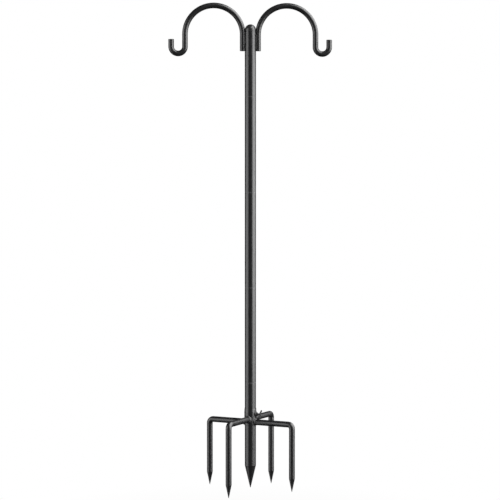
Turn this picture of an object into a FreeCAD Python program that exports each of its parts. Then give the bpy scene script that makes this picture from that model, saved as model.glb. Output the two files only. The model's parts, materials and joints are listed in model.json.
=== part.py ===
import FreeCAD, Part
import math
import os

# Double shepherd's hook: a sectional steel pole that carries two bent hook arms at
# its head and a clamp-on base of four bent prongs near its pointed foot.
# Millimetres, +Z up. The origin is on the pole's axis at the ground line, which is
# the underside of the prong collar. The arms lie in the XZ plane, and -Y is the front.

# Pole tube, shared by every section
POLE_DIAMETER = 38.0
POLE_WALL = 1.5
SECTION_LENGTH = 323.5
SPIGOT_LENGTH = 37.0
SPIGOT_CLEARANCE = 0.2
LEAD_CHAMFER = 0.8
SHOULDER_ROUND = 0.8
RIM_CHAMFER = 0.5
SWAGE_LENGTH = 6.0

# Ground section
FIRST_SEAM_HEIGHT = 145.6
GROUND_TUBE_DEPTH = 137.7
SPIKE_TAPER_LENGTH = 80.4
SPIKE_TIP_RADIUS = 1.2
SPIKE_PLUG_LENGTH = 16.0
SPIKE_PLUG_CLEARANCE = 0.1

# Head tube and its dome cap
HEAD_TUBE_LENGTH = 218.9
CAP_RIM_HEIGHT = 6.0
CAP_DOME_HEIGHT = 17.9
CAP_WALL = 2.5
CAP_SKIRT_LENGTH = 16.0
CAP_SKIRT_CLEARANCE = 0.1
CAP_EDGE = 0.5

# Hook arms
ARM_DIAMETER = 19.0
ARM_SEAT_DEPTH = 2.4
ARM_FOOT_DROP = 66.0
ARM_LEG_LENGTH = 55.3
ARCH_RADIUS = 97.3
OUTER_LEG_LENGTH = 41.0
HOOK_RADIUS = 23.3
HOOK_TIP_LENGTH = 24.7
ARM_END_CHAMFER = 0.6
ARM_WELD_RADIUS = 1.8
ARM_WELD_MARGIN = 4.0

# Prong collar
COLLAR_CLEARANCE = 0.4
COLLAR_WALL = 1.2
COLLAR_HEIGHT = 58.5
COLLAR_NECK_HEIGHT = 17.0
COLLAR_NECK_WALL = 0.3
COLLAR_EDGE = 0.5

# Prongs: the left and right bars are welded lower on the collar than the others
PRONG_DIAMETER = 20.0
PRONG_REACH = 157.6
PRONG_BEND_RADIUS = 14.0
PRONG_TAPER_LENGTH = 47.5
PRONG_TIP_RADIUS = 0.8
LOW_BAR_UNDERSIDE = 1.0
HIGH_BAR_UNDERSIDE = 10.7
LOW_PRONG_DEPTH = 219.6
HIGH_PRONG_DEPTH = 228.3
PRONG_TURN = -31.2
PRONG_WELD_SIZE = 3.0
PRONG_WELD_EDGE = 0.3

# Clamp screw and its welded nut, over the right prong, the wings turned off upright
SCREW_TURN = PRONG_TURN
SCREW_HEIGHT = 38.8
SCREW_DIAMETER = 6.0
SCREW_PITCH = 1.0
THREAD_DEPTH = 0.5
THREAD_CREST_SHARE = 0.125
THREAD_CLEARANCE = 0.08
SCREW_TIP_GAP = 0.3
SCREW_TIP_CHAMFER = 1.0
SCREW_HOLE_CLEARANCE = 0.5
NUT_FLATS = 10.0
NUT_THICKNESS = 7.5
NUT_CHAMFER = 1.2
NUT_WELD_SIZE = 4.5
NUT_WELD_EDGE = 0.2
SCREW_NECK = 5.0
WING_PIN_DIAMETER = 4.0
WING_PIN_LENGTH = 4.0
WING_HUB_DIAMETER = 7.2
WING_HUB_LENGTH = 5.8
WING_HUB_ROUND = 1.2
WING_THICKNESS = 2.6
WING_ROOT_RADIUS = 2.7
WING_TIP_RADIUS = 2.2
WING_ROOT_SETBACK = 3.0
WING_REACH = 12.6
WING_LEAN = 3.4
WING_REST_TURN = -25.0

CUT_OVERRUN = 5.0

POLE_RADIUS = POLE_DIAMETER / 2
POLE_BORE_RADIUS = POLE_RADIUS - POLE_WALL
ARM_RADIUS = ARM_DIAMETER / 2
PRONG_RADIUS = PRONG_DIAMETER / 2
COLLAR_BORE_RADIUS = POLE_RADIUS + COLLAR_CLEARANCE
COLLAR_RADIUS = COLLAR_BORE_RADIUS + COLLAR_WALL
SCREW_RADIUS = SCREW_DIAMETER / 2
HEAD_SEAM_HEIGHT = FIRST_SEAM_HEIGHT + 3 * SECTION_LENGTH
HEAD_TOP_HEIGHT = HEAD_SEAM_HEIGHT + HEAD_TUBE_LENGTH
NUT_FACE = COLLAR_RADIUS + NUT_THICKNESS
WING_FACE = NUT_FACE + SCREW_NECK

ORIGIN = FreeCAD.Vector(0, 0, 0)
X_AXIS = FreeCAD.Vector(1, 0, 0)
Y_AXIS = FreeCAD.Vector(0, 1, 0)
Z_AXIS = FreeCAD.Vector(0, 0, 1)


def point(radius, height):
    """A profile point in the XZ half plane."""
    return FreeCAD.Vector(radius, 0, height)


def line(start, end):
    return Part.LineSegment(start, end).toShape()


def arc(start, middle, end):
    return Part.Arc(start, middle, end).toShape()


def polyline(points):
    return [line(a, b) for a, b in zip(points, points[1:])]


def turned(edges, axis=Z_AXIS):
    """A solid of revolution about an axis through the origin, from a closed outline."""
    face = Part.Face(Part.Wire(Part.__sortEdges__(edges)))
    return face.revolve(ORIGIN, axis, 360)


def sphere_cap_point(centre, radius, degrees):
    """A profile point on a circle whose centre is on the axis, from its equator up."""
    angle = math.radians(degrees)
    return point(radius * math.cos(angle), centre + radius * math.sin(angle))


def taper_outline(radius, taper_length, tip_radius, base_height):
    """Outline of a downward cone with a rounded tip, from its base rim to the axis."""
    half_angle = math.atan2(radius, taper_length)
    apex = base_height - taper_length
    centre = apex + tip_radius / math.sin(half_angle)
    tangent = -math.degrees(half_angle)
    blend = sphere_cap_point(centre, tip_radius, tangent)
    middle = sphere_cap_point(centre, tip_radius, (tangent - 90) / 2)
    tip = sphere_cap_point(centre, tip_radius, -90)
    rim = point(radius, base_height)
    return [line(rim, blend), arc(blend, middle, point(0, tip.z))], tip.z


def sleeved_section(seam, length):
    """A pole tube whose swaged lower end is a spigot for the section below it."""
    spigot = POLE_BORE_RADIUS - SPIGOT_CLEARANCE
    spigot_bore = spigot - POLE_WALL
    foot = seam - SPIGOT_LENGTH
    top = seam + length
    slope = SHOULDER_ROUND * (1 - math.sqrt(0.5))
    round_start = point(POLE_RADIUS - SHOULDER_ROUND, seam)
    round_middle = point(POLE_RADIUS - slope, seam + slope)
    round_end = point(POLE_RADIUS, seam + SHOULDER_ROUND)
    edges = polyline([
        point(spigot_bore, foot),
        point(spigot - LEAD_CHAMFER, foot),
        point(spigot, foot + LEAD_CHAMFER),
        point(spigot, seam),
        round_start,
    ])
    edges.append(arc(round_start, round_middle, round_end))
    edges += polyline([
        round_end,
        point(POLE_RADIUS, top - RIM_CHAMFER),
        point(POLE_RADIUS - RIM_CHAMFER, top),
        point(POLE_BORE_RADIUS, top),
        point(POLE_BORE_RADIUS, seam + SWAGE_LENGTH),
        point(spigot_bore, seam),
        point(spigot_bore, foot),
    ])
    return turned(edges)


def ground_tube():
    foot = -GROUND_TUBE_DEPTH
    outline = [
        point(POLE_BORE_RADIUS, foot),
        point(POLE_RADIUS, foot),
        point(POLE_RADIUS, FIRST_SEAM_HEIGHT - RIM_CHAMFER),
        point(POLE_RADIUS - RIM_CHAMFER, FIRST_SEAM_HEIGHT),
        point(POLE_BORE_RADIUS, FIRST_SEAM_HEIGHT),
        point(POLE_BORE_RADIUS, foot),
    ]
    return turned(polyline(outline))


def spike_point():
    """The solid steel point, with a plug that fills the foot of the ground tube."""
    base = -GROUND_TUBE_DEPTH
    plug = POLE_BORE_RADIUS - SPIKE_PLUG_CLEARANCE
    cone, tip = taper_outline(POLE_RADIUS, SPIKE_TAPER_LENGTH, SPIKE_TIP_RADIUS, base)
    plug_top = base + SPIKE_PLUG_LENGTH
    plug_outline = polyline([
        point(0, tip),
        point(0, plug_top),
        point(plug - LEAD_CHAMFER, plug_top),
        point(plug, plug_top - LEAD_CHAMFER),
        point(plug, base),
        point(POLE_RADIUS, base),
    ])
    return turned(plug_outline + cone)


def pole_cap():
    """A hollow dome with a rim that meets the tube and a skirt pressed into its bore."""
    seat = HEAD_TOP_HEIGHT
    dome_base = seat + CAP_RIM_HEIGHT
    top = dome_base + CAP_DOME_HEIGHT
    dome_radius = (POLE_RADIUS**2 + CAP_DOME_HEIGHT**2) / (2 * CAP_DOME_HEIGHT)
    centre = top - dome_radius
    skirt = POLE_BORE_RADIUS - CAP_SKIRT_CLEARANCE
    skirt_end = seat - CAP_SKIRT_LENGTH
    hollow = skirt - CAP_WALL
    inner_radius = dome_radius - CAP_WALL
    outer_start = math.degrees(math.asin((dome_base - centre) / dome_radius))
    inner_start = math.degrees(math.acos(hollow / inner_radius))
    inner_corner = sphere_cap_point(centre, inner_radius, inner_start)
    inner_middle = sphere_cap_point(centre, inner_radius, (inner_start + 90) / 2)
    outer_middle = sphere_cap_point(centre, dome_radius, (outer_start + 90) / 2)
    edges = [
        arc(inner_corner, inner_middle, point(0, centre + inner_radius)),
        line(point(0, centre + inner_radius), point(0, top)),
        arc(point(0, top), outer_middle, point(POLE_RADIUS, dome_base)),
    ]
    edges += polyline([
        point(POLE_RADIUS, dome_base),
        point(POLE_RADIUS, seat + CAP_EDGE),
        point(POLE_RADIUS - CAP_EDGE, seat),
        point(skirt, seat),
        point(skirt, skirt_end + LEAD_CHAMFER),
        point(skirt - LEAD_CHAMFER, skirt_end),
        point(hollow, skirt_end),
        inner_corner,
    ])
    return turned(edges)


def arm_places():
    """Where the runs of the right arm begin and end: (x, z) of the named points."""
    inner = POLE_RADIUS + ARM_RADIUS - ARM_SEAT_DEPTH
    foot = HEAD_TOP_HEIGHT - ARM_FOOT_DROP
    spring = foot + ARM_LEG_LENGTH
    outer = inner + 2 * ARCH_RADIUS
    hook = spring - OUTER_LEG_LENGTH
    tip_x = outer + 2 * HOOK_RADIUS
    return inner, foot, spring, outer, hook, tip_x


def round_bar(start_height, end_height, x, radius):
    """An upright round bar at x in the XZ plane."""
    base = FreeCAD.Vector(x, 0, start_height)
    return Part.makeCylinder(radius, end_height - start_height, base, Z_AXIS)


def half_turn(centre_x, centre_height, bend_radius, bar_radius, upward):
    """A half ring of round bar in the XZ plane, over or under its centre."""
    centre = FreeCAD.Vector(centre_x, 0, centre_height)
    start = centre + X_AXIS * bend_radius
    section = Part.Face(Part.Wire(Part.makeCircle(bar_radius, start, Z_AXIS)))
    degrees = -180 if upward else 180
    return section.revolve(centre, Y_AXIS, degrees)


def chamfered_ends(bar, heights):
    """Breaks the edge of the flat bar ends that lie at the given heights."""
    ends = [e for e in bar.Edges if e.Length > 0 and any(
        abs(v - e.BoundBox.ZMin) + abs(v - e.BoundBox.ZMax) < ARM_END_CHAMFER / 10
        for v in heights)]
    return bar.makeChamfer(ARM_END_CHAMFER, ends)


def right_arm():
    inner, foot, spring, outer, hook, tip_x = arm_places()
    tip_top = hook + HOOK_TIP_LENGTH
    runs = [
        half_turn(inner + ARCH_RADIUS, spring, ARCH_RADIUS, ARM_RADIUS, True),
        round_bar(hook, spring, outer, ARM_RADIUS),
        half_turn(outer + HOOK_RADIUS, hook, HOOK_RADIUS, ARM_RADIUS, False),
        round_bar(hook, tip_top, tip_x, ARM_RADIUS),
    ]
    bar = round_bar(foot, spring, inner, ARM_RADIUS).multiFuse(runs).removeSplitter()
    bar = chamfered_ends(bar, [foot, tip_top])
    seat = Part.makeCylinder(
        POLE_RADIUS,
        ARM_LEG_LENGTH + ARCH_RADIUS + 2 * CUT_OVERRUN,
        FreeCAD.Vector(0, 0, foot - CUT_OVERRUN),
        Z_AXIS,
    )
    return bar.cut(seat)


def half_turned(shape):
    """The same shape on the other side of the pole."""
    other = shape.copy()
    other.rotate(ORIGIN, Z_AXIS, 180)
    return other


def right_arm_welds():
    """Two thin beads in the grooves where the right arm's leg lies on the head tube."""
    inner, foot, spring = arm_places()[:3]
    across = (inner**2 + POLE_RADIUS**2 - ARM_RADIUS**2) / (2 * inner)
    deep = math.sqrt(POLE_RADIUS**2 - across**2)
    start = foot + ARM_WELD_MARGIN
    length = ARM_LEG_LENGTH - ARM_WELD_MARGIN
    tube = Part.makeCylinder(
        POLE_RADIUS, length + 2 * CUT_OVERRUN, FreeCAD.Vector(0, 0, start - CUT_OVERRUN)
    )
    leg = round_bar(start - CUT_OVERRUN, start + length + CUT_OVERRUN, inner, ARM_RADIUS)
    arch = half_turn(inner + ARCH_RADIUS, spring, ARCH_RADIUS, ARM_RADIUS, True)
    beads = []
    for side in (-1, 1):
        place = FreeCAD.Vector(across, side * (deep + ARM_WELD_RADIUS), start)
        bead = Part.makeCylinder(ARM_WELD_RADIUS, length, place, Z_AXIS)
        beads.append(bead.cut(tube).cut(leg).cut(arch))
    return Part.makeCompound(beads)


def collar_blank(radius, overrun=0):
    """A plain cylinder on the pole's axis, as high as the collar."""
    base = FreeCAD.Vector(0, 0, -overrun)
    return Part.makeCylinder(radius, COLLAR_HEIGHT + 2 * overrun, base, Z_AXIS)


def along_screw(shape):
    """Turns a shape made along +X to the clamp screw's place."""
    placed = shape.copy()
    placed.translate(FreeCAD.Vector(0, 0, SCREW_HEIGHT))
    placed.rotate(ORIGIN, Z_AXIS, SCREW_TURN)
    return placed


def prong_collar():
    """A short tube that slides on the pole, with a top that narrows to a thin lip."""
    shoulder = point(COLLAR_RADIUS, COLLAR_HEIGHT - COLLAR_NECK_HEIGHT)
    lip = point(COLLAR_BORE_RADIUS + COLLAR_NECK_WALL, COLLAR_HEIGHT)
    inset = shoulder.x - lip.x
    neck_radius = (COLLAR_NECK_HEIGHT**2 + inset**2) / (2 * inset)
    half_angle = math.asin(COLLAR_NECK_HEIGHT / neck_radius) / 2
    neck_middle = shoulder + FreeCAD.Vector(
        neck_radius * (math.cos(half_angle) - 1), 0, neck_radius * math.sin(half_angle)
    )
    edges = [arc(shoulder, neck_middle, lip)]
    edges += polyline([
        lip,
        point(COLLAR_BORE_RADIUS, COLLAR_HEIGHT),
        point(COLLAR_BORE_RADIUS, 0),
        point(COLLAR_RADIUS - COLLAR_EDGE, 0),
        point(COLLAR_RADIUS, COLLAR_EDGE),
        shoulder,
    ])
    body = turned(edges)
    hole = Part.makeCylinder(
        SCREW_RADIUS + SCREW_HOLE_CLEARANCE, COLLAR_RADIUS + CUT_OVERRUN, ORIGIN, X_AXIS
    )
    return body.cut(along_screw(hole))


def prong(turn, bar_height, depth):
    """An L-shaped round bar, coped to the collar, with a pointed leg."""
    bend_x = PRONG_REACH - PRONG_BEND_RADIUS
    leg_top = bar_height - PRONG_BEND_RADIUS
    taper_top = PRONG_TAPER_LENGTH - depth
    bar = Part.makeCylinder(PRONG_RADIUS, bend_x, point(0, bar_height), X_AXIS)
    bend_centre = point(bend_x, leg_top)
    ring = Part.makeCircle(PRONG_RADIUS, point(bend_x, bar_height), X_AXIS)
    bend = Part.Face(Part.Wire(ring)).revolve(bend_centre, Y_AXIS, 90)
    leg = round_bar(taper_top, leg_top, PRONG_REACH, PRONG_RADIUS)
    cone, tip = taper_outline(PRONG_RADIUS, PRONG_TAPER_LENGTH, PRONG_TIP_RADIUS, taper_top)
    core = polyline([point(0, tip), point(0, taper_top), point(PRONG_RADIUS, taper_top)])
    taper = turned(cone + core)
    taper.translate(X_AXIS * PRONG_REACH)
    whole = bar.multiFuse([bend, leg, taper]).removeSplitter()
    whole = whole.cut(collar_blank(COLLAR_RADIUS, CUT_OVERRUN))
    whole.rotate(ORIGIN, Z_AXIS, turn)
    return whole


def weld_ring(held_radius, size, edge):
    """A disc of weld about the X axis, from inside the collar's wall to a conical face."""
    outer = held_radius + size
    inside = math.sqrt(COLLAR_RADIUS**2 - outer**2)
    end = COLLAR_RADIUS + size
    outline = [
        point(inside, 0),
        point(inside, outer),
        point(COLLAR_RADIUS, outer),
        point(end, held_radius + edge),
        point(end, 0),
        point(inside, 0),
    ]
    return turned(polyline(outline), X_AXIS)


def prong_weld(turn, bar_height):
    """The fillet of weld round a bar where it meets the collar."""
    outer = PRONG_RADIUS + PRONG_WELD_SIZE
    reach = COLLAR_RADIUS + PRONG_WELD_SIZE + CUT_OVERRUN
    ring = weld_ring(PRONG_RADIUS, PRONG_WELD_SIZE, PRONG_WELD_EDGE)
    ring = ring.cut(Part.makeCylinder(PRONG_RADIUS, reach, ORIGIN, X_AXIS))
    ring.translate(Z_AXIS * bar_height)
    ring = ring.cut(collar_blank(COLLAR_RADIUS, CUT_OVERRUN))
    ground = Part.makeBox(reach, 2 * outer, outer, FreeCAD.Vector(0, -outer, -outer))
    ring = ring.cut(ground)
    ring.rotate(ORIGIN, Z_AXIS, turn)
    return ring


def hexagon(flats, length):
    """A hexagonal bar from the origin along +X, with two level flats."""
    corner = flats / math.sqrt(3)
    corners = []
    for side in range(7):
        angle = math.radians(60 * side)
        corners.append(FreeCAD.Vector(0, corner * math.cos(angle), corner * math.sin(angle)))
    face = Part.Face(Part.makePolygon(corners))
    return face.extrude(X_AXIS * length)


def clamp_nut():
    blank = hexagon(NUT_FLATS, NUT_FACE)
    corner = NUT_FLATS / math.sqrt(3)
    chamfer_end = corner - NUT_CHAMFER
    shoulder = NUT_FACE - NUT_CHAMFER * math.tan(math.radians(30))
    envelope = turned(polyline([
        ORIGIN,
        point(0, corner),
        point(shoulder, corner),
        point(NUT_FACE, chamfer_end),
        point(NUT_FACE, 0),
        ORIGIN,
    ]), X_AXIS)
    bore = Part.makeCylinder(
        SCREW_RADIUS + THREAD_CLEARANCE, NUT_FACE + CUT_OVERRUN, ORIGIN, X_AXIS
    )
    nut = blank.common(envelope).cut(bore)
    return along_screw(nut).cut(collar_blank(COLLAR_RADIUS, CUT_OVERRUN))


def nut_weld():
    """The fillet of weld round the clamp nut where it meets the collar."""
    corner = NUT_FLATS / math.sqrt(3)
    ring = weld_ring(corner, NUT_WELD_SIZE, NUT_WELD_EDGE)
    ring = ring.cut(hexagon(NUT_FLATS, NUT_FACE))
    return along_screw(ring).cut(collar_blank(COLLAR_RADIUS, CUT_OVERRUN))


def screw_stud():
    """The clamp screw's threaded stud, its thread drawn as rings, with a pin for the wings."""
    tip = POLE_RADIUS + SCREW_TIP_GAP
    outline = [
        point(tip, 0),
        point(tip, SCREW_RADIUS - SCREW_TIP_CHAMFER),
        point(tip + SCREW_TIP_CHAMFER, SCREW_RADIUS),
    ]
    start = tip + SCREW_TIP_CHAMFER
    flat = SCREW_PITCH * THREAD_CREST_SHARE
    turns = int((WING_FACE - start) / SCREW_PITCH)
    for turn in range(turns):
        crest = start + turn * SCREW_PITCH
        outline.append(point(crest + flat, SCREW_RADIUS))
        outline.append(point(crest + SCREW_PITCH / 2, SCREW_RADIUS - THREAD_DEPTH))
        outline.append(point(crest + SCREW_PITCH - flat, SCREW_RADIUS))
    pin = WING_PIN_DIAMETER / 2
    outline += [
        point(WING_FACE, SCREW_RADIUS),
        point(WING_FACE, pin),
        point(WING_FACE + WING_PIN_LENGTH, pin),
        point(WING_FACE + WING_PIN_LENGTH, 0),
        point(tip, 0),
    ]
    return along_screw(turned(polyline(outline), X_AXIS))


def wing(lift_side):
    """One blade of the wing head: a tapered bar with round ends that leans outwards."""
    root = FreeCAD.Vector(WING_FACE + WING_ROOT_SETBACK, 0, 0)
    tip = root + FreeCAD.Vector(WING_LEAN, 0, lift_side * WING_REACH)
    along = (tip - root).normalize()
    across = FreeCAD.Vector(-along.z, 0, along.x)
    sides = [
        root + across * WING_ROOT_RADIUS,
        tip + across * WING_TIP_RADIUS,
        tip - across * WING_TIP_RADIUS,
        root - across * WING_ROOT_RADIUS,
        root + across * WING_ROOT_RADIUS,
    ]
    thickness = Y_AXIS * WING_THICKNESS
    blade = Part.Face(Part.makePolygon(sides)).extrude(thickness)
    tip_round = Part.makeCylinder(WING_TIP_RADIUS, WING_THICKNESS, tip, Y_AXIS)
    root_round = Part.makeCylinder(WING_ROOT_RADIUS, WING_THICKNESS, root, Y_AXIS)
    whole = blade.multiFuse([tip_round, root_round])
    whole.translate(Y_AXIS * (-WING_THICKNESS / 2))
    return whole


def screw_wings():
    hub_end = WING_FACE + WING_HUB_LENGTH
    hub_radius = WING_HUB_DIAMETER / 2
    hub = turned(polyline([
        point(WING_FACE, 0),
        point(WING_FACE, hub_radius),
        point(hub_end - WING_HUB_ROUND, hub_radius),
        point(hub_end, hub_radius - WING_HUB_ROUND),
        point(hub_end, 0),
        point(WING_FACE, 0),
    ]), X_AXIS)
    socket = Part.makeCylinder(
        WING_PIN_DIAMETER / 2 + THREAD_CLEARANCE,
        WING_PIN_LENGTH + THREAD_CLEARANCE,
        FreeCAD.Vector(WING_FACE, 0, 0),
        X_AXIS,
    )
    head = hub.multiFuse([wing(1), wing(-1)]).removeSplitter().cut(socket)
    head.rotate(ORIGIN, X_AXIS, WING_REST_TURN)
    return along_screw(head)


def build_parts():
    """Every sub-part by its name."""
    first = FIRST_SEAM_HEIGHT
    low = (LOW_BAR_UNDERSIDE + PRONG_RADIUS, LOW_PRONG_DEPTH)
    high = (HIGH_BAR_UNDERSIDE + PRONG_RADIUS, HIGH_PRONG_DEPTH)
    prongs = {
        "right_prong": (PRONG_TURN, *low),
        "back_prong": (PRONG_TURN + 90, *high),
        "left_prong": (PRONG_TURN + 180, *low),
        "front_prong": (PRONG_TURN + 270, *high),
    }
    parts = {
        "ground_tube": ground_tube(),
        "spike_point": spike_point(),
        "lower_tube": sleeved_section(first, SECTION_LENGTH),
        "middle_tube": sleeved_section(first + SECTION_LENGTH, SECTION_LENGTH),
        "upper_tube": sleeved_section(first + 2 * SECTION_LENGTH, SECTION_LENGTH),
        "head_tube": sleeved_section(HEAD_SEAM_HEIGHT, HEAD_TUBE_LENGTH),
        "pole_cap": pole_cap(),
        "right_arm": right_arm(),
        "left_arm": half_turned(right_arm()),
        "right_arm_welds": right_arm_welds(),
        "left_arm_welds": half_turned(right_arm_welds()),
        "prong_collar": prong_collar(),
        "clamp_nut": clamp_nut(),
        "nut_weld": nut_weld(),
        "screw_stud": screw_stud(),
        "screw_wings": screw_wings(),
    }
    for name, (turn, bar_height, depth) in prongs.items():
        parts[name] = prong(turn, bar_height, depth)
    welds = [prong_weld(turn, bar_height) for turn, bar_height, _ in prongs.values()]
    parts["prong_welds"] = Part.makeCompound(welds)
    return parts


def main():
    os.makedirs("parts", exist_ok=True)
    for name, shape in build_parts().items():
        shape.exportStep(f"parts/{name}.step")
        box = shape.BoundBox
        print(
            f"{name}: {len(shape.Solids)} solids, valid {shape.isValid()}, "
            f"volume {shape.Volume:.1f}, z {box.ZMin:.1f} to {box.ZMax:.1f}"
        )


main()
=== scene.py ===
import json
import logging
import math
from collections.abc import Iterable, Sequence
from dataclasses import dataclass, field
from enum import Enum

import bmesh
import bpy
from mathutils import Matrix, Vector


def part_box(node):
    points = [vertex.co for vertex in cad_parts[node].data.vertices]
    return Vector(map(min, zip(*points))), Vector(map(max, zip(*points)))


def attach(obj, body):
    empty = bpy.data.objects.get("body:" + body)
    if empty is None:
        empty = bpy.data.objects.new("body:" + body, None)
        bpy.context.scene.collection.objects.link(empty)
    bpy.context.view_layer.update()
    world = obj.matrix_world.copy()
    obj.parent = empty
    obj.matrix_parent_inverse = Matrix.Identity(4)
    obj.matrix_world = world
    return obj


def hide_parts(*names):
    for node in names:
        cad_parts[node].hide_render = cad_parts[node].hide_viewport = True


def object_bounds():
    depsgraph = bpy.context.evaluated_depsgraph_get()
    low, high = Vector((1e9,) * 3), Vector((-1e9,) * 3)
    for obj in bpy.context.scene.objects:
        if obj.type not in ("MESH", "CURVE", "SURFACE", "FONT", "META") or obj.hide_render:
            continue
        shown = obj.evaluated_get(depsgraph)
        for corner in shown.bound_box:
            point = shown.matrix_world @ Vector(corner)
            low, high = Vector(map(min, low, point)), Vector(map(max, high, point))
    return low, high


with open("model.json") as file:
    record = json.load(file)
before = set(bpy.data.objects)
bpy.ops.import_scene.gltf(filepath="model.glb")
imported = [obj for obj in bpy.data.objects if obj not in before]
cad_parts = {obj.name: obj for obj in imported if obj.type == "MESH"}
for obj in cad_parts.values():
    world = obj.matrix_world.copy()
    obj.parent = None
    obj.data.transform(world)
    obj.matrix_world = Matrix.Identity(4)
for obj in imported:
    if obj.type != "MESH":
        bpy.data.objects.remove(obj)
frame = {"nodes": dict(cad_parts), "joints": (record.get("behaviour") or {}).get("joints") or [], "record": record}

# Looks of a double shepherd's hook: a sectional pole, two hook arms, a clamp-on base of
# four prongs and its wing screw. Metres, +Z up, and the photograph is taken from -Y.

logging.basicConfig(level=logging.INFO, format="%(message)s")
LOG = logging.getLogger("double_hook")

CAD_LOW, CAD_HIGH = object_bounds()
MM = 0.001
MERGE_WITHIN = 0.002 * MM
FULL_TURN = 2 * math.pi
X_AXIS = Vector((1, 0, 0))
Y_AXIS = Vector((0, 1, 0))
Z_AXIS = Vector((0, 0, 1))
BLACK = (0.0, 0.0, 0.0, 1.0)
WHITE = (1.0, 1.0, 1.0, 1.0)
FULL_TO_NONE = (1.0, 0.0)

Socket = bpy.types.NodeSocket
Mesh = bmesh.types.BMesh
Element = bmesh.types.BMVert | bmesh.types.BMEdge
Span = tuple[float, float]
Triple = tuple[float, float, float]


class Slot(Enum):
    """The record's material slots for weld metal and black hardware."""

    WELD = "weld_metal"
    HARDWARE = "black_hardware"


class Body(Enum):
    """The moving bodies that new pieces ride on."""

    HEAD = "head"
    BASE = "prong_base"
    STUD = "clamp_stud"
    WINGS = "clamp_wings"


class Graph:
    """A material and the short calls that its finish builds its nodes with."""

    def __init__(self, name: str) -> None:
        """Starts a material with a surface shader and nothing linked to it.

        Args:
            name: the material's name.
        """
        self.material = bpy.data.materials.new(name)
        self.material.use_nodes = True
        self.tree = self.material.node_tree
        self.tree.nodes.clear()
        self.surface = self.add("ShaderNodeBsdfPrincipled")
        output = self.add("ShaderNodeOutputMaterial")
        self.join(self.surface.outputs["BSDF"], output.inputs["Surface"])
        self.place = self.add("ShaderNodeTexCoord").outputs["Object"]

    def add(self, kind: str, **settings: object) -> bpy.types.Node:
        """Adds a node.

        Args:
            kind: the node's type name.
            settings: properties of the node by name.

        Returns:
            The new node.
        """
        node = self.tree.nodes.new(kind)
        for name, value in settings.items():
            setattr(node, name, value)
        return node

    def join(self, source: Socket, target: Socket) -> None:
        """Links an output to an input."""
        self.tree.links.new(source, target)

    def feed(self, target: Socket, value: Socket | float | Sequence[float]) -> None:
        """Gives an input a linked socket or a plain value.

        Args:
            target: the input.
            value: the socket or the value.
        """
        if isinstance(value, bpy.types.NodeSocket):
            self.join(value, target)
        else:
            target.default_value = value

    def stretched(self, stretch: Triple) -> Socket:
        """Object coordinates stretched along each axis.

        Args:
            stretch: the factor along each axis.

        Returns:
            The coordinates.
        """
        node = self.add("ShaderNodeMapping")
        self.join(self.place, node.inputs["Vector"])
        node.inputs["Scale"].default_value = stretch
        return node.outputs["Vector"]

    def noise(self, scale: float, detail: float = 2.0, where: Socket | None = None) -> Socket:
        """A cloudy noise.

        Args:
            scale: cells to a metre.
            detail: octaves of finer noise.
            where: coordinates other than the object's own.

        Returns:
            Its value, from 0 to 1.
        """
        node = self.add("ShaderNodeTexNoise")
        self.join(where or self.place, node.inputs["Vector"])
        node.inputs["Scale"].default_value = scale
        node.inputs["Detail"].default_value = detail
        return node.outputs["Fac"]

    def spread(self, value: Socket, source: Span, target: Span = (0.0, 1.0)) -> Socket:
        """Maps one span of a value onto another, clamped.

        Args:
            value: the value to map.
            source: start and end of its own span.
            target: what these two become.

        Returns:
            The mapped value.
        """
        node = self.add("ShaderNodeMapRange")
        self.join(value, node.inputs["Value"])
        names = ("From Min", "From Max", "To Min", "To Max")
        for name, number in zip(names, (*source, *target)):
            node.inputs[name].default_value = number
        return node.outputs["Result"]

    def maths(self, operation: str, *values: Socket | float) -> Socket:
        """One step of arithmetic.

        Args:
            operation: the step's name.
            values: what it takes.

        Returns:
            Its result.
        """
        node = self.add("ShaderNodeMath", operation=operation)
        for target, value in zip(node.inputs, values):
            self.feed(target, value)
        return node.outputs["Value"]

    def height(self) -> Socket:
        """The height above the ground line.

        Returns:
            The height in metres.
        """
        node = self.add("ShaderNodeSeparateXYZ")
        self.join(self.place, node.inputs["Vector"])
        return node.outputs["Z"]

    def blend(self, share: Socket, first: Socket | Triple, second: Triple) -> Socket:
        """A colour that goes from the first to the second as share goes from 0 to 1.

        Args:
            share: the second colour's share.
            first: the colour at 0.
            second: the colour at 1.

        Returns:
            The blended colour.
        """
        node = self.add("ShaderNodeMix", data_type="RGBA")
        plain = not isinstance(first, bpy.types.NodeSocket)
        self.join(share, node.inputs["Factor"])
        self.feed(node.inputs["A"], (*first, 1) if plain else first)
        self.feed(node.inputs["B"], (*second, 1))
        return node.outputs["Result"]

    def relief(self, layers: Sequence[tuple[Socket, float]]) -> None:
        """Stacks bumps on the surface.

        Args:
            layers: a height pattern and its depth in metres, for each bump.
        """
        normal = None
        for pattern, depth in layers:
            node = self.add("ShaderNodeBump")
            node.inputs["Distance"].default_value = depth
            self.join(pattern, node.inputs["Height"])
            if normal is not None:
                self.join(normal, node.inputs["Normal"])
            normal = node.outputs["Normal"]
        self.join(normal, self.surface.inputs["Normal"])

    def shade(self, **values: Socket | float | Sequence[float]) -> None:
        """Sets the surface shader's inputs, whose names have spaces for underscores."""
        for name, value in values.items():
            self.feed(self.surface.inputs[name.replace("_", " ")], value)


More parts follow.
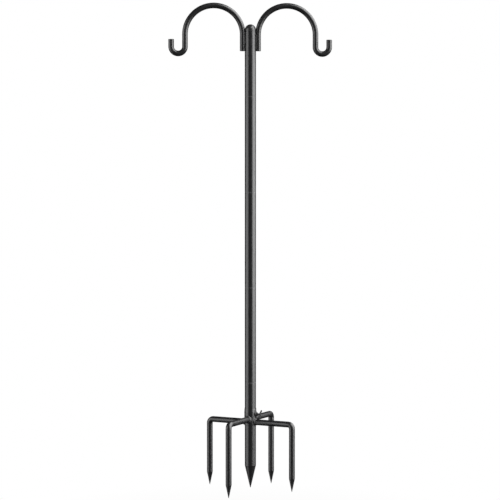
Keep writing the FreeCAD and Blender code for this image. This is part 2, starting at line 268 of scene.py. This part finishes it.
@dataclass(frozen=True)
class PowderCoat:
    """Semi-gloss black powder coat: orange peel, faint mottling, and pale rims of wear and painted highlight.

    In every finish a scale is in cells to a metre, a depth in metres, and a span that is
    named for a look is the part of the noise over which that look comes in.
    """

    name: str
    colour: Triple = (0.0110, 0.0110, 0.0114)
    mottled: Triple = (0.0150, 0.0150, 0.0156)
    mottle_scale: float = 45.0
    mottle_span: Span = (0.4, 0.75)
    gloss: Span = (0.28, 0.325)
    gloss_span: Span = (0.35, 0.65)
    peel_scale: float = 850.0
    peel_depth: float = 0.008 * MM
    grain_scale: float = 4200.0
    grain_depth: float = 0.003 * MM
    rims: tuple[float, ...] = ()
    rim_reach: Span = (0.22 * MM, 0.55 * MM)
    # Pale rim colour: worn coat, and a painted highlight for the seam's glint.
    worn: Triple = (0.14, 0.14, 0.145)
    wear_and_highlight_scale: float = 260.0
    wear_and_highlight_span: Span = (0.38, 0.62)
    wear_and_highlight_share: Span = (0.25, 0.9)
    rubbed_below: float | None = None
    rubbed_within: float = 1.0 * MM
    rubbed: Triple = (0.075, 0.075, 0.078)
    rubbed_stretch: Triple = (900.0, 900.0, 22.0)
    rubbed_span: Span = (0.45, 0.66)
    index: float = 1.5

    def build(self) -> bpy.types.Material:
        """Builds the material.

        Returns:
            The finished material.
        """
        graph = Graph(self.name)
        mottle = graph.noise(self.mottle_scale, detail=3.0)
        shine = graph.spread(mottle, self.gloss_span, self.gloss)
        colour = graph.blend(graph.spread(mottle, self.mottle_span), self.colour, self.mottled)
        peel = graph.noise(self.peel_scale, detail=1.0)
        grain = graph.noise(self.grain_scale, detail=1.0)
        graph.relief([(peel, self.peel_depth), (grain, self.grain_depth)])
        # Pale rims at the seams, partly wear and partly a painted highlight.
        for rim in self.rims:
            colour = graph.blend(self.seam_wear_and_highlight_mask(graph, rim), colour, self.worn)
        if self.rubbed_below is not None:
            colour = graph.blend(self.rub_mask(graph), colour, self.rubbed)
        graph.shade(Base_Color=colour, Roughness=shine, IOR=self.index)
        return graph.material

    def seam_wear_and_highlight_mask(self, graph: Graph, rim: float) -> Socket:
        """Where the edge at a height is pale: worn thin coat, and a painted highlight along the seam.

        Args:
            graph: the material's nodes.
            rim: the edge's height.

        Returns:
            A share from 0, whole, to 1, pale with wear and painted highlight.
        """
        off = graph.maths("ABSOLUTE", graph.maths("SUBTRACT", graph.height(), rim))
        near = graph.spread(off, self.rim_reach, FULL_TO_NONE)
        patches = graph.noise(self.wear_and_highlight_scale, detail=3.0)
        patchy = graph.spread(patches, self.wear_and_highlight_span, self.wear_and_highlight_share)
        return graph.maths("MULTIPLY", near, patchy)

    def rub_mask(self, graph: Graph) -> Socket:
        """Lengthwise rub marks on a spigot, below the section's shoulder.

        Args:
            graph: the material's nodes.

        Returns:
            A share from 0, whole, to 1, rubbed.
        """
        shoulder = (self.rubbed_below - self.rubbed_within, self.rubbed_below)
        below = graph.spread(graph.height(), shoulder, FULL_TO_NONE)
        streaks = graph.noise(1.0, detail=3.0, where=graph.stretched(self.rubbed_stretch))
        return graph.maths("MULTIPLY", below, graph.spread(streaks, self.rubbed_span))


@dataclass(frozen=True)
class WeldCoat:
    """Powder coat over weld beads: pooled in the ripples, with fine spatter grit."""

    name: str
    colour: Triple = (0.0140, 0.0140, 0.0145)
    thin: Triple = (0.034, 0.033, 0.032)
    thin_scale: float = 420.0
    thin_span: Span = (0.52, 0.72)
    gloss: Span = (0.30, 0.44)
    gloss_span: Span = (0.3, 0.7)
    spatter_scale: float = 1500.0
    spatter_depth: float = 0.035 * MM
    index: float = 1.5

    def build(self) -> bpy.types.Material:
        """Builds the material.

        Returns:
            The finished material.
        """
        graph = Graph(self.name)
        patches = graph.noise(self.thin_scale, detail=3.0)
        graph.relief([(graph.noise(self.spatter_scale), self.spatter_depth)])
        colour = graph.blend(graph.spread(patches, self.thin_span), self.colour, self.thin)
        shine = graph.spread(patches, self.gloss_span, self.gloss)
        graph.shade(Base_Color=colour, Roughness=shine, IOR=self.index)
        return graph.material


@dataclass(frozen=True)
class MouldedPlastic:
    """Black moulded plastic: a fine etched grain with slightly glossier flow patches."""

    name: str = "moulded_black_plastic"
    colour: Triple = (0.0165, 0.0165, 0.0170)
    pale: Triple = (0.0215, 0.0215, 0.0220)
    pale_span: Span = (0.35, 0.7)
    gloss: Span = (0.27, 0.35)
    gloss_span: Span = (0.35, 0.65)
    flow_stretch: Triple = (70.0, 70.0, 160.0)
    grain_scale: float = 2600.0
    grain_depth: float = 0.008 * MM
    index: float = 1.48

    def build(self) -> bpy.types.Material:
        """Builds the material.

        Returns:
            The finished material.
        """
        graph = Graph(self.name)
        flow = graph.noise(1.0, where=graph.stretched(self.flow_stretch))
        graph.relief([(graph.noise(self.grain_scale, detail=1.0), self.grain_depth)])
        colour = graph.blend(graph.spread(flow, self.pale_span), self.colour, self.pale)
        shine = graph.spread(flow, self.gloss_span, self.gloss)
        graph.shade(Base_Color=colour, Roughness=shine, IOR=self.index)
        return graph.material


@dataclass(frozen=True)
class BlackenedSteel:
    """Blackened steel hardware: dark oxide, paler where handling has polished it."""

    name: str
    colour: Triple = (0.030, 0.030, 0.033)
    polished: Triple = (0.16, 0.16, 0.17)
    metal: float = 0.65
    gloss: Span = (0.48, 0.30)
    gloss_span: Span = (0.3, 0.7)
    wear_scale: float = 520.0
    wear_from: float = 0.56
    wear_width: float = 0.14
    pit_scale: float = 2200.0
    pit_depth: float = 0.018 * MM
    index: float = 1.5

    def build(self) -> bpy.types.Material:
        """Builds the material.

        Returns:
            The finished material.
        """
        graph = Graph(self.name)
        wear = graph.noise(self.wear_scale, detail=4.0)
        graph.relief([(graph.noise(self.pit_scale), self.pit_depth)])
        worn = graph.spread(wear, (self.wear_from, self.wear_from + self.wear_width))
        colour = graph.blend(worn, self.colour, self.polished)
        shine = graph.spread(wear, self.gloss_span, self.gloss)
        graph.shade(Base_Color=colour, Roughness=shine, Metallic=self.metal, IOR=self.index)
        return graph.material


def named(entries: Iterable[dict], name: str) -> dict:
    """The entry that has a name, in a list of the frame."""
    return next(entry for entry in entries if entry["name"] == name)


def bearing(direction: Sequence[float]) -> float:
    """The turn about the pole that takes +X to a direction."""
    return math.atan2(direction[1], direction[0])


def link(name: str, data: bpy.types.ID) -> bpy.types.Object:
    """Puts data into the scene as a new object.

    Args:
        name: the object's name.
        data: its mesh, light or camera.

    Returns:
        The object.
    """
    thing = bpy.data.objects.new(name, data)
    bpy.context.scene.collection.objects.link(thing)
    return thing


def coat(node: str, material: bpy.types.Material) -> None:
    """Gives a carried-over node its finish on every material slot.

    Args:
        node: the node's name.
        material: its finish.
    """
    mesh = frame["nodes"][node].data
    for index in range(len(mesh.materials)):
        mesh.materials[index] = material
    LOG.info("%s: %s", node, material.name)


def add_piece(
    name: str, mesh: Mesh, material: bpy.types.Material, body: Body, replaced: str
) -> None:
    """Makes a new piece of a finished mesh and puts it in a node's place.

    Args:
        name: the piece's name.
        mesh: its shape, in place, which is used up.
        material: its finish.
        body: what it moves with.
        replaced: the node that it stands for.
    """
    data = bpy.data.meshes.new(name)
    bmesh.ops.remove_doubles(mesh, verts=mesh.verts, dist=MERGE_WITHIN)
    bmesh.ops.recalc_face_normals(mesh, faces=mesh.faces)
    mesh.to_mesh(data)
    mesh.free()
    data.materials.append(material)
    data.shade_smooth()
    piece = link(name, data)
    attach(piece, body.value)
    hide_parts(replaced)
    LOG.info("%s: %d faces on %s", name, len(data.polygons), body.value)


def shift(mesh: Mesh, way: Vector) -> None:
    """Moves a whole mesh."""
    bmesh.ops.translate(mesh, vec=way, verts=mesh.verts)


def turn_about(mesh: Mesh, axis: str, angle: float) -> None:
    """Turns a whole mesh about an axis through the origin."""
    turn = Matrix.Rotation(angle, 3, axis)
    bmesh.ops.rotate(mesh, cent=Vector(), matrix=turn, verts=mesh.verts)


def draw_line(mesh: Mesh, points: Iterable[Span], closed: bool) -> list[Element]:
    """Draws a line for spinning round the X axis.

    Args:
        mesh: the mesh that takes it.
        points: a place along the axis and a radius, for each point.
        closed: whether the last point joins the first.

    Returns:
        Its vertices and edges.
    """
    verts = [bmesh.ops.create_vert(mesh, co=(along, 0, out))["vert"][0] for along, out in points]
    ahead = verts[1:] + verts[:1] if closed else verts[1:]
    return [*verts, *(mesh.edges.new(pair) for pair in zip(verts, ahead))]


def cut_off(mesh: Mesh, point: Vector, beyond: Vector) -> None:
    """Cuts a mesh at a plane and drops what lies beyond it.

    Args:
        mesh: the mesh to cut.
        point: a point of the plane.
        beyond: the direction of what is dropped.
    """
    everything = [*mesh.verts, *mesh.edges, *mesh.faces]
    bmesh.ops.bisect_plane(
        mesh, geom=everything, plane_co=point, plane_no=beyond, clear_outer=True
    )


def close_holes(mesh: Mesh) -> None:
    """Fills every open edge loop of a mesh with a flat face."""
    bmesh.ops.holes_fill(mesh, edges=[edge for edge in mesh.edges if edge.is_boundary], sides=0)


def ripple(place: float, pitch: float, roundness: float = 0.6) -> float:
    """A weld ripple's height share along the bead: round crests, sharp valleys."""
    return abs(math.sin(math.pi * place / pitch)) ** roundness


@dataclass
class Pole:
    """The stacked tubes, the point under them and the cap on top."""

    seam_wear_and_highlight_inset: float = 0.5 * MM
    tubes: tuple[str, ...] = (
        "ground_tube", "lower_tube", "middle_tube", "upper_tube", "head_tube"
    )

    def dress(self) -> None:
        """Coats every tube, with pale rims of wear and painted highlight at its seams, then the point and the cap.
        """
        seams = [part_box(name)[1].z for name in self.tubes]
        for index, name in enumerate(self.tubes):
            below = seams[index - 1] if index else None
            rims = [] if below is None else [below + self.seam_wear_and_highlight_inset]
            if index < len(self.tubes) - 1:
                rims.append(seams[index] - self.seam_wear_and_highlight_inset)
            finish = PowderCoat(name=f"powder_coat_{name}", rims=tuple(rims), rubbed_below=below)
            coat(name, finish.build())
        coat("spike_point", PowderCoat(name="powder_coat_point").build())
        coat("pole_cap", MouldedPlastic().build())


@dataclass
class HookArms:
    """The two bent hook arms and the long beads that weld them to the head tube."""

    seat_depth: float = 2.4 * MM
    bead_radius: float = 1.75 * MM
    blunt_end: float = 0.05
    ripple_pitch: float = 2.1 * MM
    ripple_depth: float = 0.28 * MM
    ripple_middle: float = 0.5
    rings_per_ripple: int = 6
    sides: int = 20

    def dress(self) -> None:
        """Coats both arms and builds their weld beads."""
        finish = PowderCoat(name="powder_coat_arms").build()
        coat("right_arm", finish)
        coat("left_arm", finish)
        weld = WeldCoat(name="powder_coat_arm_welds").build()
        for side, word in ((1, "right"), (-1, "left")):
            shape = bmesh.new()
            for face in (1, -1):
                self.add_bead(shape, side, face)
            node = f"{word}_arm_welds"
            add_piece(f"{word}_arm_weld_beads", shape, weld, Body.HEAD, node)

    def groove(self) -> Span:
        """Where an arm's leg and the tube meet.

        Returns:
            The groove's distance from the pole's axis, across and in depth.
        """
        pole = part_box("ground_tube")[1].x
        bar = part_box("right_arm")[1].y
        leg = pole + bar - self.seat_depth
        across = (leg**2 + pole**2 - bar**2) / (2 * leg)
        return across, math.sqrt(pole**2 - across**2)

    def add_bead(self, shape: Mesh, side: int, face: int) -> None:
        """Adds one rippled bead in the groove between an arm's leg and the tube.

        Args:
            shape: the mesh that takes it.
            side: 1 for the right arm, -1 for the left.
            face: 1 for the bead behind, -1 for the one in front.
        """
        low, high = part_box("right_arm_welds")
        across, deep = self.groove()
        centre = Vector((side * across, face * (deep + self.bead_radius), 0))
        length = high.z - low.z
        steps = round(length / self.ripple_pitch) * self.rings_per_ripple
        made = bmesh.ops.create_circle(shape, segments=self.sides, radius=1.0, cap_ends=True)
        ring = made["verts"]
        end_face = list(ring[0].link_faces)
        bmesh.ops.translate(shape, vec=Z_AXIS * low.z, verts=ring)
        rings = [ring]
        for _ in range(steps):
            grown = bmesh.ops.extrude_face_region(shape, geom=end_face)["geom"]
            ring = [item for item in grown if isinstance(item, bmesh.types.BMVert)]
            end_face = [item for item in grown if isinstance(item, bmesh.types.BMFace)]
            bmesh.ops.translate(shape, vec=Z_AXIS * (length / steps), verts=ring)
            rings.append(ring)
        for ring in rings:
            along = ring[0].co.z - low.z
            end = min(along, length - along)
            round_off = math.sqrt(min(1.0, end / self.bead_radius + self.blunt_end))
            crest = self.ripple_depth * (ripple(along, self.ripple_pitch) - self.ripple_middle)
            size = self.bead_radius + crest
            for vert in ring:
                vert.co.x = vert.co.x * size * round_off + centre.x
                vert.co.y = vert.co.y * size * round_off + centre.y


@dataclass(frozen=True)
class RingWeld:
    """A rippled ring of weld on the collar, round something that stands out from it.

    The narrowest and widest radius are those of what it holds. It spreads over its width
    on the collar, and climbs its height from there.
    """

    narrowest: float
    widest: float
    width: float
    height: float
    ripple_pitch: float
    ripple_depth: float
    steps: int
    ripple_middle: float = 0.6
    sunk: float = 0.25 * MM
    slope: tuple[Span, ...] = ((0.30, 0.80), (0.62, 0.50), (0.86, 0.22))

    def build(self, turn: float, rise: float) -> Mesh:
        """Builds the ring, ripples it and bends it onto the collar.

        Args:
            turn: where it sits round the collar.
            rise: its centre's height above the ground line.

        Returns:
            The ring's mesh.
        """
        ring = self.spun()
        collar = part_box("prong_collar")[1].x
        radius = max(vert.co.yz.length for vert in ring.verts)
        rim = FULL_TURN * radius
        whole = rim / round(rim / self.ripple_pitch)
        for vert in ring.verts:
            out = vert.co.yz.length
            around = math.atan2(vert.co.y, vert.co.z)
            crest = self.ripple_depth * (ripple(around * radius, whole) - self.ripple_middle)
            if vert.co.x >= 0:
                swell = 1 + crest / out
                vert.co.y *= swell
                vert.co.z *= swell
                vert.co.x += crest if vert.co.x > 0 else 0
            vert.co.x += math.sqrt(collar**2 - vert.co.y**2)
        shift(ring, Z_AXIS * rise)
        turn_about(ring, "Z", turn)
        return ring

    def spun(self) -> Mesh:
        """The plain ring, round the X axis, on a flat collar at X = 0.

        Returns:
            The ring's mesh.
        """
        shape = bmesh.new()
        foot = self.widest + self.width
        outline = [
            (-2 * self.sunk, self.narrowest - self.sunk),
            (-2 * self.sunk, foot),
            (0, foot),
            *((up * self.height, self.widest + out * self.width) for up, out in self.slope),
            (self.height, self.widest),
            (self.height, self.narrowest - self.sunk),
        ]
        line = draw_line(shape, outline, closed=True)
        bmesh.ops.spin(
            shape, geom=line, cent=Vector(), axis=X_AXIS, angle=FULL_TURN, steps=self.steps,
            use_merge=True,
        )
        return shape


@dataclass
class ProngBase:
    """The clamp-on collar, its four prongs, their weld beads and the welded nut."""

    prongs: tuple[str, ...] = ("right_prong", "back_prong", "left_prong", "front_prong")
    prong_weld_width: float = 3.1 * MM
    prong_weld_height: float = 3.0 * MM
    prong_ripple_pitch: float = 2.3 * MM
    prong_ripple_depth: float = 0.24 * MM
    prong_weld_steps: int = 180
    nut_flat: float = 4.9 * MM
    nut_corner: float = 5.8 * MM
    nut_weld_width: float = 4.5 * MM
    nut_weld_height: float = 4.5 * MM
    nut_ripple_pitch: float = 1.8 * MM
    nut_ripple_depth: float = 0.16 * MM
    nut_weld_steps: int = 144

    def dress(self) -> None:
        """Coats the collar and prongs, dresses the nut and builds the weld beads."""
        finish = PowderCoat(name="powder_coat_prongs").build()
        for name in self.prongs:
            coat(name, finish)
        coat("prong_collar", PowderCoat(name="powder_coat_collar").build())
        coat("clamp_nut", PowderCoat(name="powder_coat_nut", gloss=(0.34, 0.44)).build())
        self.weld_prongs()
        self.weld_nut()

    def weld_prongs(self) -> None:
        """Builds the beads over the four prong roots, each cut off under its bar."""
        shape = bmesh.new()
        for name in self.prongs:
            mount = named(frame["record"]["mounts"], f"{name}_leg")
            bar = mount["dims"]["r_mm"] * MM
            weld = RingWeld(
                bar, bar, self.prong_weld_width, self.prong_weld_height,
                self.prong_ripple_pitch, self.prong_ripple_depth, self.prong_weld_steps,
            )
            ring = weld.build(bearing(mount["pos_m"]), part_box(name)[1].z - bar)
            cut_off(ring, Vector(), -Z_AXIS)
            close_holes(ring)
            self.pour(ring, shape)
        finish = WeldCoat(name="powder_coat_prong_welds", spatter_scale=1200.0).build()
        add_piece("prong_weld_beads", shape, finish, Body.BASE, "prong_welds")

    def weld_nut(self) -> None:
        """Builds the bead round the clamp nut, its coat darkened with painted shade."""
        joint = named(frame["joints"], "clamp_screw_turn")
        weld = RingWeld(
            self.nut_flat, self.nut_corner, self.nut_weld_width, self.nut_weld_height,
            self.nut_ripple_pitch, self.nut_ripple_depth, self.nut_weld_steps,
        )
        ring = weld.build(bearing(joint["axis"]), joint["pos_m"][2])
        # Its colour, darker than the other weld coat, is painted shade where the nut meets the collar.
        finish = WeldCoat(
            name="nut_weld_coat_with_painted_shade", colour=(0.007, 0.007, 0.0073), gloss=(0.48, 0.60)
        ).build()
        add_piece("nut_weld_bead", ring, finish, Body.BASE, "nut_weld")

    def pour(self, ring: Mesh, shape: Mesh) -> None:
        """Moves a ring's mesh into another mesh.

        Args:
            ring: the mesh to move, which is used up.
            shape: the mesh that takes it.
        """
        data = bpy.data.meshes.new("poured")
        ring.to_mesh(data)
        ring.free()
        shape.from_mesh(data)
        bpy.data.meshes.remove(data)


@dataclass
class ClampScrew:
    """The wing screw: a stud with a helical thread and a cast head with two wings."""

    thread_radius: float = 3.0 * MM
    root_radius: float = 2.5 * MM
    pitch: float = 1.0 * MM
    crest_share: float = 0.125
    lead_in: float = 1.5
    spare_turns: int = 2
    steps_per_turn: int = 40
    tip_gap: float = 0.3 * MM
    tip_chamfer: float = 1.0 * MM
    hub_radius: float = 3.6 * MM
    hub_length: float = 5.8 * MM
    hub_taper: float = 0.82
    hub_segments: int = 64
    wing_thickness: float = 3.0 * MM
    wing_setback: float = 3.0 * MM
    wing_reach: float = 12.6 * MM
    wing_lean: float = 3.4 * MM
    wing_segments: int = 48
    root_round: float = 2.7 * MM
    tip_round: float = 2.2 * MM
    rest_turn: float = math.radians(-25.0)
    cast_voxel: float = 0.24 * MM
    cast_softening: int = 7
    joint: dict = field(init=False)
    face: float = field(init=False)

    def __post_init__(self) -> None:
        """Finds the wing head's face from the joint that turns it."""
        self.joint = named(frame["joints"], "clamp_screw_turn")
        self.face = Vector(self.joint["pos_m"]).xy.length

    def dress(self) -> None:
        """Builds the threaded stud and the wing head."""
        stud = BlackenedSteel(name="blackened_stud", wear_from=0.50, wear_scale=900.0).build()
        add_piece("threaded_stud", self.thread(), stud, Body.STUD, "screw_stud")
        cast = BlackenedSteel(
            name="blackened_wings", colour=(0.016, 0.016, 0.017), polished=(0.09, 0.09, 0.095),
            metal=0.15, wear_from=0.62, pit_scale=1400.0,
        ).build()
        add_piece("cast_wing_head", self.wings(), cast, Body.WINGS, "screw_wings")

    def to_place(self, shape: Mesh) -> None:
        """Moves a shape made along +X from the pole's axis to the screw's own line."""
        turn_about(shape, "Z", bearing(self.joint["axis"]))
        shift(shape, Z_AXIS * self.joint["pos_m"][2])

    def thread(self) -> Mesh:
        """The stud, its thread wound as a helix and cut flat at both ends.

        Returns:
            The stud's mesh, in place.
        """
        shape = bmesh.new()
        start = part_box("ground_tube")[1].x + self.tip_gap
        turns = math.ceil((self.face - start) / self.pitch) + self.spare_turns
        first = start - self.lead_in * self.pitch
        flat = self.pitch * self.crest_share
        tooth = [
            (first, self.thread_radius),
            (first + flat, self.thread_radius),
            (first + self.pitch / 2, self.root_radius),
            (first + self.pitch - flat, self.thread_radius),
            (first + self.pitch, self.thread_radius),
        ]
        bmesh.ops.spin(
            shape, geom=draw_line(shape, tooth, closed=False), cent=Vector(), axis=X_AXIS,
            angle=FULL_TURN * turns, dvec=X_AXIS * (self.pitch / self.steps_per_turn),
            steps=self.steps_per_turn * turns,
        )
        bmesh.ops.remove_doubles(shape, verts=shape.verts, dist=MERGE_WITHIN)
        cut_off(shape, X_AXIS * start, -X_AXIS)
        cut_off(shape, X_AXIS * self.face, X_AXIS)
        close_holes(shape)
        for vert in shape.verts:
            out = vert.co.yz.length
            limit = self.thread_radius - self.tip_chamfer + (vert.co.x - start)
            if out > limit:
                vert.co.y *= limit / out
                vert.co.z *= limit / out
        self.to_place(shape)
        return shape

    def wings(self) -> Mesh:
        """The wing head as one rounded casting.

        Returns:
            The head's mesh, in place.
        """
        shape = bmesh.new()
        bmesh.ops.create_cone(
            shape, cap_ends=True, segments=self.hub_segments, radius1=self.hub_radius,
            radius2=self.hub_taper * self.hub_radius, depth=self.hub_length,
        )
        turn_about(shape, "Y", math.pi / 2)
        shift(shape, X_AXIS * (self.face + self.hub_length / 2))
        for side in (1, -1):
            self.add_wing(shape, side)
        cast = self.cast(shape)
        turn_about(cast, "X", self.rest_turn)
        self.to_place(cast)
        return cast

    def add_wing(self, shape: Mesh, side: int) -> None:
        """Adds one tapered wing with round ends.

        Args:
            shape: the mesh that takes it.
            side: 1 for the upper wing, -1 for the lower.
        """
        root = Vector((self.face + self.wing_setback, 0, 0))
        tip = root + Vector((self.wing_lean, 0, side * self.wing_reach))
        along = (tip - root).normalized()
        across = along.cross(Y_AXIS)
        made = bmesh.ops.create_circle(
            shape, segments=self.wing_segments, radius=1.0, cap_ends=True
        )
        ring = made["verts"]
        for vert in ring:
            centre, size = (tip, self.tip_round) if vert.co.y > 0 else (root, self.root_round)
            offset = along * (vert.co.y * size) + across * (vert.co.x * size)
            vert.co = centre + offset - Y_AXIS * (self.wing_thickness / 2)
        outline = list({face for vert in ring for face in vert.link_faces})
        grown = bmesh.ops.extrude_face_region(shape, geom=outline)["geom"]
        top = [item for item in grown if isinstance(item, bmesh.types.BMVert)]
        bmesh.ops.translate(shape, vec=Y_AXIS * self.wing_thickness, verts=top)

    def cast(self, shape: Mesh) -> Mesh:
        """Fuses overlapping shapes into one and rounds their edges.

        Args:
            shape: the shapes, which are used up.

        Returns:
            The casting's mesh.
        """
        data = bpy.data.meshes.new("casting")
        shape.to_mesh(data)
        shape.free()
        holder = link("casting", data)
        fuse = holder.modifiers.new("fuse", "REMESH")
        fuse.mode = "VOXEL"
        fuse.voxel_size = self.cast_voxel
        soften = holder.modifiers.new("soften", "SMOOTH")
        soften.iterations = self.cast_softening
        fused = bmesh.new()
        fused.from_object(holder, bpy.context.evaluated_depsgraph_get())
        bpy.data.objects.remove(holder)
        return fused


@dataclass(frozen=True)
class Panel:
    """A soft light panel, placed by the directions that it fills as seen from the pole.

    The azimuth is in degrees to the right of the camera's side, the breadth is the angle
    that it spans, low and high are elevations, and the level is a radiance.
    """

    name: str
    azimuth: float
    breadth: float
    low: float
    high: float
    level: float


@dataclass
class Studio:
    """The pale floor, the soft lights and the photograph's camera."""

    focal_pixels: float = 1753.2
    image_pixels: float = 500.0
    sensor: float = 36.0
    seen_to: float = 50.0
    distance: float = 5.9424
    camera_height: float = 0.8649
    aim_height: float = 0.5969
    turned: float = math.radians(3.8)
    aside: float = -1.3 * MM
    floor_gap: float = 135.0 * MM
    floor_radius: float = 1.6
    floor_segments: int = 96
    floor_fade: Span = (0.35, 0.9)
    floor_glow: float = 0.965
    room_glow: float = 0.012
    background_glow: float = 1.0
    panels_away: float = 10.0
    panels: tuple[Panel, ...] = (
        Panel("right_panel", azimuth=72.0, breadth=54.0, low=-12.0, high=13.5, level=7.3),
        Panel("right_upper_panel", azimuth=80.0, breadth=85.0, low=14.0, high=69.0, level=7.4),
        Panel("right_rear_panel", azimuth=107.0, breadth=20.0, low=-8.0, high=12.0, level=3.0),
        Panel(
            "right_rear_upper_panel",
            azimuth=122.0, breadth=22.0, low=12.0, high=45.0, level=2.4,
        ),
        Panel("left_panel", azimuth=-74.0, breadth=60.0, low=-15.0, high=29.0, level=3.4),
        Panel("left_low_panel", azimuth=-72.0, breadth=43.0, low=-42.0, high=-15.0, level=1.5),
    )

    def view_direction(self) -> Vector:
        """The level direction that the camera looks in."""
        return Vector((math.sin(self.turned), math.cos(self.turned), 0))

    def build(self) -> None:
        """Sets up the camera, floor, world and lights."""
        self.add_camera()
        self.add_floor()
        self.add_world()
        for panel in self.panels:
            self.add_panel(panel)
        bpy.context.scene.view_settings.view_transform = "Standard"

    def add_camera(self) -> None:
        """Adds the camera of the photograph."""
        data = bpy.data.cameras.new("photo_camera")
        data.sensor_width = self.sensor
        data.lens = self.focal_pixels / self.image_pixels * self.sensor
        data.clip_end = self.seen_to
        camera = link("photo_camera", data)
        ahead = self.view_direction()
        aside = ahead.cross(Z_AXIS) * self.aside
        aim = aside + Z_AXIS * self.aim_height
        camera.location = aside - ahead * self.distance + Z_AXIS * self.camera_height
        camera.rotation_mode = "QUATERNION"
        camera.rotation_quaternion = (aim - camera.location).to_track_quat("-Z", "Y")
        bpy.context.scene.camera = camera

    def add_floor(self) -> None:
        """Adds a pale floor that clears the lowered base, fading into the background."""
        shape = bmesh.new()
        bmesh.ops.create_circle(
            shape, cap_ends=True, segments=self.floor_segments, radius=self.floor_radius
        )
        shift(shape, Z_AXIS * (CAD_LOW.z - self.floor_gap))
        data = bpy.data.meshes.new("pale_floor")
        shape.to_mesh(data)
        shape.free()
        floor = link("pale_floor", data)
        graph = Graph("pale_floor")
        distance = graph.add("ShaderNodeVectorMath", operation="LENGTH")
        graph.join(graph.stretched((1.0, 1.0, 0.0)), distance.inputs[0])
        alpha = graph.spread(distance.outputs["Value"], self.floor_fade, FULL_TO_NONE)
        graph.shade(Base_Color=BLACK, Roughness=1.0, Specular_IOR_Level=0.0, Alpha=alpha)
        graph.shade(Emission_Color=WHITE, Emission_Strength=self.floor_glow)
        data.materials.append(graph.material)
        floor.visible_diffuse = False
        floor.visible_glossy = False
        floor.visible_shadow = False

    def add_world(self) -> None:
        """Adds a white background with a dim room round it."""
        world = bpy.data.worlds.new("studio")
        bpy.context.scene.world = world
        world.use_nodes = True
        tree = world.node_tree
        tree.nodes.clear()
        output = tree.nodes.new("ShaderNodeOutputWorld")
        mix = tree.nodes.new("ShaderNodeMixShader")
        seen = tree.nodes.new("ShaderNodeLightPath")
        tree.links.new(seen.outputs["Is Camera Ray"], mix.inputs[0])
        for slot, level in ((1, self.room_glow), (2, self.background_glow)):
            node = tree.nodes.new("ShaderNodeBackground")
            node.inputs["Color"].default_value = WHITE
            node.inputs["Strength"].default_value = level
            tree.links.new(node.outputs[0], mix.inputs[slot])
        tree.links.new(mix.outputs[0], output.inputs["Surface"])

    def add_panel(self, panel: Panel) -> None:
        """Adds one soft light panel that faces the pole.

        Args:
            panel: its place, size and brightness.
        """
        rise = math.radians(panel.low + panel.high) / 2
        tall = 2 * self.panels_away * math.tan(math.radians(panel.high - panel.low) / 2)
        across = 2 * self.panels_away * math.tan(math.radians(panel.breadth) / 2)
        wide = across * math.cos(rise)
        data = bpy.data.lights.new(panel.name, "AREA")
        data.shape = "RECTANGLE"
        data.size, data.size_y = wide, tall
        data.energy = panel.level * math.pi * wide * tall
        light = link(panel.name, data)
        side = Matrix.Rotation(math.radians(panel.azimuth), 3, "Z") @ -self.view_direction()
        away = side * math.cos(rise) + Z_AXIS * math.sin(rise)
        light.location = Z_AXIS * self.aim_height + away * self.panels_away
        light.rotation_mode = "QUATERNION"
        light.rotation_quaternion = away.to_track_quat("Z", "Y")
        light.visible_camera = False


def main() -> None:
    """Builds the studio and dresses each sub-assembly in turn."""
    Studio().build()
    for assembly in (Pole(), HookArms(), ProngBase(), ClampScrew()):
        assembly.dress()
        LOG.info("%s: dressed", type(assembly).__name__)


if __name__ == "__main__":
    main()
